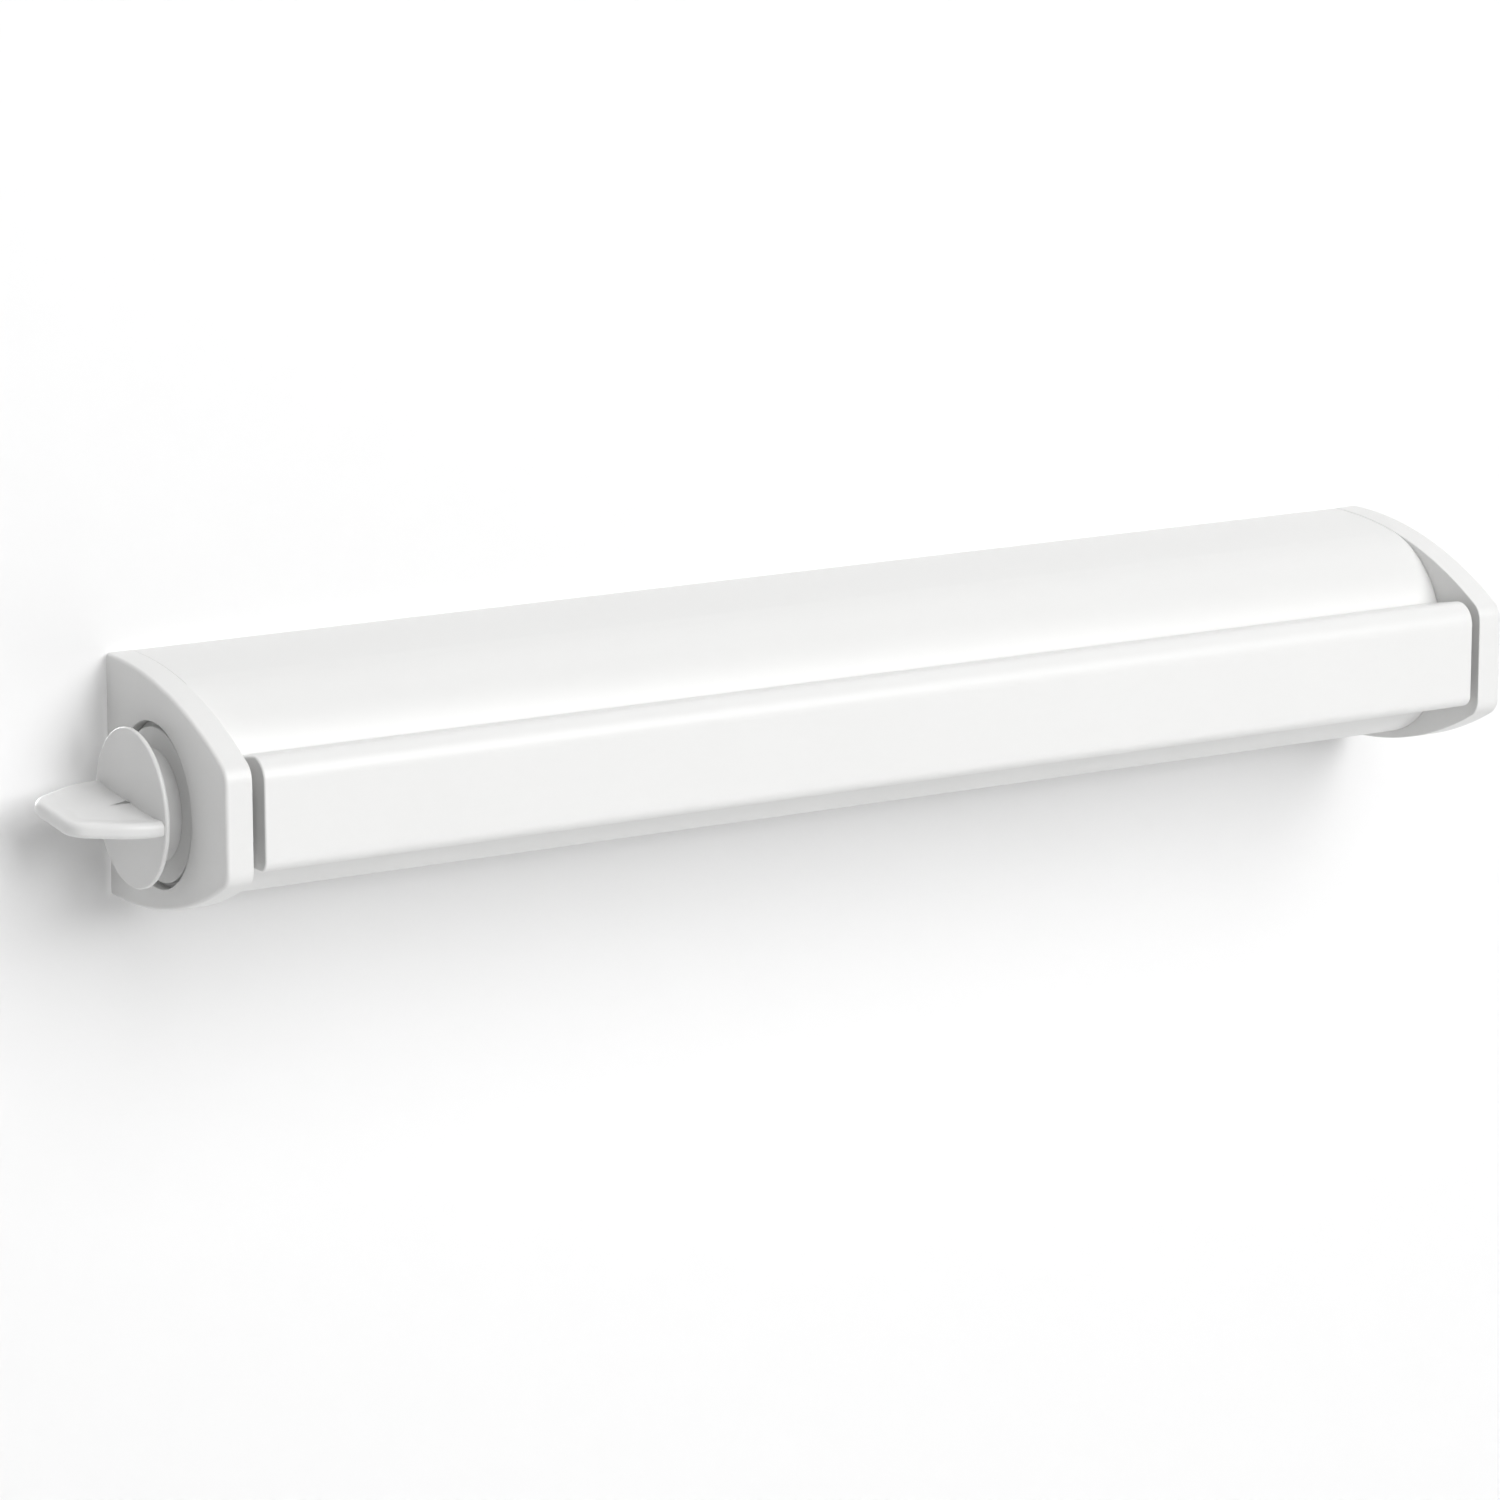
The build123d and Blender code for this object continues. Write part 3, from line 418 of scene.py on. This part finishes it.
def round_off(profile, reach, steps=5):
    """Rounds each corner of a closed profile by a quadratic curve from side to side about it. The
    curve starts at its reach from the corner, or at 0.45 of the shorter side where that is less."""
    corner = np.array(profile, float)
    before = np.roll(corner, 1, 0) - corner
    after = np.roll(corner, -1, 0) - corner
    short = np.minimum(np.linalg.norm(before, axis=1), np.linalg.norm(after, axis=1))
    cut = np.minimum(reach, short * 0.45)[:, None]
    start = corner + cut * before / np.linalg.norm(before, axis=1, keepdims=True)
    end = corner + cut * after / np.linalg.norm(after, axis=1, keepdims=True)
    t = np.linspace(0, 1, steps)[None, :, None]
    curve = (1 - t) ** 2 * start[:, None] + 2 * t * (1 - t) * corner[:, None] + t**2 * end[:, None]
    return curve.reshape(-1, 2)


eyelet_profile = round_off(
    [
        (0, eyelet_bore + mouth_flare),
        (0, flange_radius),
        (flange_thickness, flange_radius),
        (flange_thickness, sleeve_radius),
        (eyelet_length, sleeve_radius),
        (eyelet_length, eyelet_bore + tail_flare),
        (eyelet_length - flare_length, eyelet_bore),
        (flare_length, eyelet_bore),
    ],
    eyelet_rounding,
)
for number in line_numbers:
    bush = turned(eyelet_profile, (line_x(number), eyelet_low.y, line_height), (0, 1, 0))
    eyelet = skin(f"eyelet_{number}", bush, eyelet_nylon, round_u=True)
    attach(eyelet, "housing")
    if number == 1:
        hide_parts("line_eyelets")

# ---------------------------------------------------------------- pull-out bar
# A hollow white moulding as long as the cover, with a flat face and a rounded top edge. Its rail
# closes the back, anchors the lines, and has two slots that hang on wall hooks.

bar_plastic = moulded("bar_plastic", (0.785, 0.785, 0.778), 0.36)
paint(bar_plastic, "bar_shell", "bar_rail", "left_hook_plate", "right_hook_plate")

# ---------------------------------------------------------------- ferrules
# A soft aluminium sleeve is crimped on each line behind the rail. The crimping tool leaves two
# rings of six dents.

ferrule_metal = steel("ferrule_metal", (0.70, 0.70, 0.70), 0.4, (1, 1, 1), 0.00002)
ferrule_low, ferrule_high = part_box("line_ferrules")
ferrule_length = ferrule_high.y - ferrule_low.y
ferrule_radius = (ferrule_high.z - ferrule_low.z) / 2
ferrule_rounding = 0.0004
ferrule_sides = 36
crimp_margin = 0.0007
crimp_places = (0.28, 0.72)
crimp_width = 0.11
crimp_depth = 0.00045
crimp_dents = 6
dent_share = 0.55


def ferrule(x):
    """A sleeve whose radius drops in two soft bell curves along it. Round the sleeve the drop
    swings by the dent share on a cosine, and is the whole crimp depth in the six dents."""
    outside = round_off(
        [
            (0, line_half),
            (0, ferrule_radius),
            (ferrule_length, ferrule_radius),
            (ferrule_length, line_half),
        ],
        ferrule_rounding,
    )
    wall = np.linspace(crimp_margin, ferrule_length - crimp_margin, 22)
    outer = np.stack([wall, np.full_like(wall, ferrule_radius)], 1)
    half = len(outside) // 2
    profile = np.vstack([outside[:half], outer, outside[half:]])
    grid = turned(profile, (x, ferrule_low.y, line_height), (0, 1, 0), sides=ferrule_sides)
    along = profile[:, 0] / ferrule_length
    ring = sum(np.exp(-(((along - spot) / crimp_width) ** 2)) for spot in crimp_places)
    ring *= profile[:, 1] > (line_half + ferrule_radius) / 2
    turn = np.linspace(0, 2 * pi, ferrule_sides, endpoint=False)
    swing = 1 - dent_share + dent_share * np.cos(crimp_dents * turn)
    dent = crimp_depth * ring[:, None] * swing[None]
    out = grid - np.array([x, 0, line_height])
    out[..., 1] = 0
    out /= np.linalg.norm(out, axis=2, keepdims=True)
    return grid - dent[..., None] * out


for number in line_numbers:
    sleeve = skin(f"ferrule_{number}", ferrule(line_x(number)), ferrule_metal, round_u=True)
    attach(sleeve, "pull_bar")
    if number == 1:
        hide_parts("line_ferrules")

# ---------------------------------------------------------------- knob base
# The drum and flange of the knob turn in the round hole of the left end cap. A lip behind the hole
# keeps the knob in.

knob_plastic = moulded("knob_plastic", (0.765, 0.765, 0.76), 0.36)
paint(knob_plastic, "knob_base")

# ---------------------------------------------------------------- knob grip: disc
# The disc is moulded in one with the wing and screwed to the drum. Its face is flat and its rim
# is rounded on both sides.

grip_low, grip_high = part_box("knob_grip")
disc_radius = (grip_high.z - grip_low.z) / 2
disc_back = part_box("knob_base")[0].x
disc_thickness = 0.0018
disc_front = disc_back - disc_thickness
spigot_radius = 0.009
spigot_length = 0.0062
spigot_end = disc_back + spigot_length
rim_radius = 0.0007
face_margin = 0.0012
least_radius = 0.0004


def disc_profile():
    """Half section of the disc from the middle of its face, round the rim, to its spigot's end."""
    bend = np.linspace(0, pi / 2, 7)
    front_x = disc_front + rim_radius * (1 - np.sin(bend))
    front_r = disc_radius - rim_radius * (1 - np.cos(bend))
    face = np.linspace(least_radius, disc_radius - face_margin, 12)
    front = np.column_stack([np.full_like(face, disc_front), face])
    rim = np.column_stack([front_x[::-1], front_r[::-1]])
    back = np.column_stack([disc_back - rim_radius * (1 - np.sin(bend)), front_r])
    spigot = [(disc_back, spigot_radius), (spigot_end, spigot_radius), (spigot_end, least_radius)]
    return np.vstack([front, rim, back, spigot])


grip_disc = skin(
    "knob_disc", turned(disc_profile(), (0, axis_y, axis_z), (1, 0, 0), sides=128), knob_plastic
)
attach(grip_disc, "knob")
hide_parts("knob_grip")

# ---------------------------------------------------------------- knob grip: wing
# The wing stands out of the disc like the handle of a key. Its edge is a flat band with rounded
# corners all the way round, and both faces are dished between, so that a thumb finds it.

tilt = radians(4.5)
wing_tip = grip_low.x
wing_half_root = 0.0257
wing_half_tip = 0.0148
wing_root_run = 0.008
wing_half = 0.0026
wing_edge_radius = 0.0021
wing_sink = 0.0008
wing_root = disc_front + wing_sink
past_disc = 0.03
past_reach = 0.001
shoulder_reach = 0.0085
tip_reach = 0.0065
spine_from_tip = 0.016
spine_past_disc = 0.02
dish_depth = 0.0008
dish_start = 0.0024
dish_end = 0.0085


def wing_edge():
    """The wing's outline in 300 evenly spaced points: straight sides joined by a curve about each
    corner. It runs on past the disc, where the finished wing is cut off."""
    past = disc_front + past_disc
    shoulder = disc_front - wing_root_run
    corners = [
        (past, wing_half_root),
        (shoulder, wing_half_root),
        (wing_tip, wing_half_tip),
        (wing_tip, -wing_half_tip),
        (shoulder, -wing_half_root),
        (past, -wing_half_root),
    ]
    reach = [past_reach, shoulder_reach, tip_reach, tip_reach, shoulder_reach, past_reach]
    line = round_off(corners, reach, steps=24)
    line = np.vstack([line, line[:1]])
    run = np.concatenate([[0], np.cumsum(np.linalg.norm(np.diff(line, axis=0), axis=1))])
    even = np.linspace(0, run[-1], 300, endpoint=False)
    return np.column_stack([np.interp(even, run, line[:, 0]), np.interp(even, run, line[:, 1])])


def wing_surface():
    """From each point of the outline the surface goes in to the wing's spine. Its height over the
    middle plane starts at 0, climbs the flat band, goes on by a quarter circle of the edge radius
    to the half thickness, and falls by the dish depth on an S curve. All of it is then tilted."""
    edge = wing_edge()
    spine_x = np.clip(edge[:, 0], wing_tip + spine_from_tip, disc_front + spine_past_disc)
    spine = np.column_stack([spine_x, np.zeros(len(edge))])
    inward = spine - edge
    length = np.linalg.norm(inward, axis=1)
    bend = np.linspace(0, pi / 2, 8)
    at_rim = np.concatenate([[0], wing_edge_radius * (1 - np.cos(bend))])
    corner_z = np.concatenate([[0], wing_half - wing_edge_radius * (1 - np.sin(bend))])
    share = np.linspace(0, 1, 24)[1:]
    inner = wing_edge_radius + share[None] * (length[:, None] - wing_edge_radius)
    depth = np.hstack([np.broadcast_to(at_rim, (len(edge), len(at_rim))), inner])
    fall = np.clip((depth - dish_start) / (dish_end - dish_start), 0, 1)
    at_edge = np.broadcast_to(corner_z, (len(edge), len(corner_z)))
    height = np.hstack([at_edge, np.full_like(inner, wing_half)]) - dish_depth * s_curve(fall)
    flat = edge[:, None] + (inward / length[:, None])[:, None] * depth[..., None]
    upper = np.dstack([flat, height])
    lower = np.dstack([flat, -height])
    loop = np.concatenate([lower[:, ::-1], upper[:, 1:]], 1)
    x, y, z = loop[..., 0], loop[..., 1], loop[..., 2]
    tilted_y = axis_y + y * cos(tilt) - z * sin(tilt)
    tilted_z = axis_z + y * sin(tilt) + z * cos(tilt)
    return np.stack([x, tilted_y, tilted_z], -1)


wing = skin("knob_wing", wing_surface(), knob_plastic, round_u=True, round_v=False)
cut = bmesh.new()
cut.from_mesh(wing.data)
whole = cut.verts[:] + cut.edges[:] + cut.faces[:]
plane = {"plane_co": (wing_root, 0, 0), "plane_no": (1, 0, 0)}
bmesh.ops.bisect_plane(cut, geom=whole, **plane, clear_outer=True)
bmesh.ops.holes_fill(cut, edges=[e for e in cut.edges if e.is_boundary])
bmesh.ops.recalc_face_normals(cut, faces=cut.faces)
cut.to_mesh(wing.data)
cut.free()
wing.data.set_sharp_from_angle(angle=sharp_angle)
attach(wing, "knob")

# ---------------------------------------------------------------- wall and floor
# The housing hangs on a plain white wall above a pale floor. The wall is one-sided, so that the
# back of the housing can be looked at too.

wall_y = 0.0015
floor_z = -1.1
room = 9.0


def pale(name, colour):
    """Matt paint whose colour drifts by a hundredth."""
    material, place, vary = finish_with(name, colour, 0.9)
    vary(Base_Color=place.noise(1.5, 2).blend(tuple(c * 0.99 for c in colour), colour))
    return material


def panel(name, corners, material):
    """A flat four-cornered panel that belongs to the room."""
    mesh = bpy.data.meshes.new(name)
    mesh.from_pydata(corners, [], [(0, 1, 2, 3)])
    mesh.materials.append(material)
    made = bpy.data.objects.new(name, mesh)
    bpy.context.scene.collection.objects.link(made)


# the wall is clear from its back, and to the rays that look for a lamp
wall_paint = pale("wall_paint", (0.87, 0.87, 0.87))
tree = wall_paint.node_tree
behind = Shade(tree, tree.nodes.new("ShaderNodeNewGeometry").outputs["Backfacing"])
shadow = Shade(tree, tree.nodes.new("ShaderNodeLightPath").outputs["Is Shadow Ray"])
clear = behind.node("ShaderNodeBsdfTransparent", {}, {})
painted = Shade(tree, tree.nodes["Principled BSDF"].outputs[0])
either = behind.maths("MAXIMUM", behind, shadow)
mixed = either.node("ShaderNodeMixShader", {}, {0: either, 1: painted, 2: clear})
tree.links.new(mixed.socket, tree.nodes["Material Output"].inputs["Surface"])

low_left, low_right = (-room, wall_y, floor_z), (room, wall_y, floor_z)
panel("wall", [low_left, low_right, (room, wall_y, room), (-room, wall_y, room)], wall_paint)
floor_edge = [(-room, -room), (room, -room), (room, room), (-room, room)]
floor_paint = pale("floor_paint", (0.80, 0.80, 0.80))
panel("floor", [(x, y, floor_z) for x, y in floor_edge], floor_paint)

# ---------------------------------------------------------------- light
# One large soft lamp stands in front, above and to the right. A second one reaches the bar when it
# is pulled out, and a third one the back. The room itself gives an even fill.


fill = 0.12


def lamp(name, place, aim, size, power):
    """A round lamp of that width in metres and that power in watts, turned to its aim."""
    data = bpy.data.lights.new(name, "AREA")
    data.shape = "DISK"
    data.size = size
    data.energy = power
    made = bpy.data.objects.new(name, data)
    bpy.context.scene.collection.objects.link(made)
    made.location = place
    made.rotation_euler = (Vector(aim) - Vector(place)).to_track_quat("-Z", "Y").to_euler()


lamp("key_lamp", (0.6, -3.05, 1.95), aim=(0, 0, 0), size=3.4, power=131)
lamp("far_lamp", (1.0, -8.2, 2.6), aim=(0, -4, 0), size=2.5, power=90)
lamp("back_lamp", (0.3, 3.4, 0.1), aim=(0, 0, 0), size=1.4, power=60)

world = bpy.data.worlds.new("room_light")
world.use_nodes = True
background = world.node_tree.nodes["Background"]
background.inputs["Color"].default_value = (1, 1, 1, 1)
background.inputs["Strength"].default_value = fill
bpy.context.scene.world = world
bpy.context.scene.view_settings.view_transform = "Standard"

# ---------------------------------------------------------------- camera
# A long lens looks at the front from the knob's side and a little from above.

camera_place = (-1.09429, -1.84997, 0.48007)
camera_right = Vector((0.86207, -0.50679, 0))
camera_up = Vector((0.11512, 0.19583, 0.97386))
camera_turn = Matrix((camera_right, camera_up, camera_right.cross(camera_up))).transposed()

camera_data = bpy.data.cameras.new("camera")
camera_data.sensor_width = 36
camera_data.lens = 152.57
camera_data.clip_start = 0.05
camera_data.clip_end = 40
camera = bpy.data.objects.new("camera", camera_data)
bpy.context.scene.collection.objects.link(camera)
camera.matrix_world = Matrix.Translation(camera_place) @ camera_turn.to_4x4()
bpy.context.scene.camera = camera
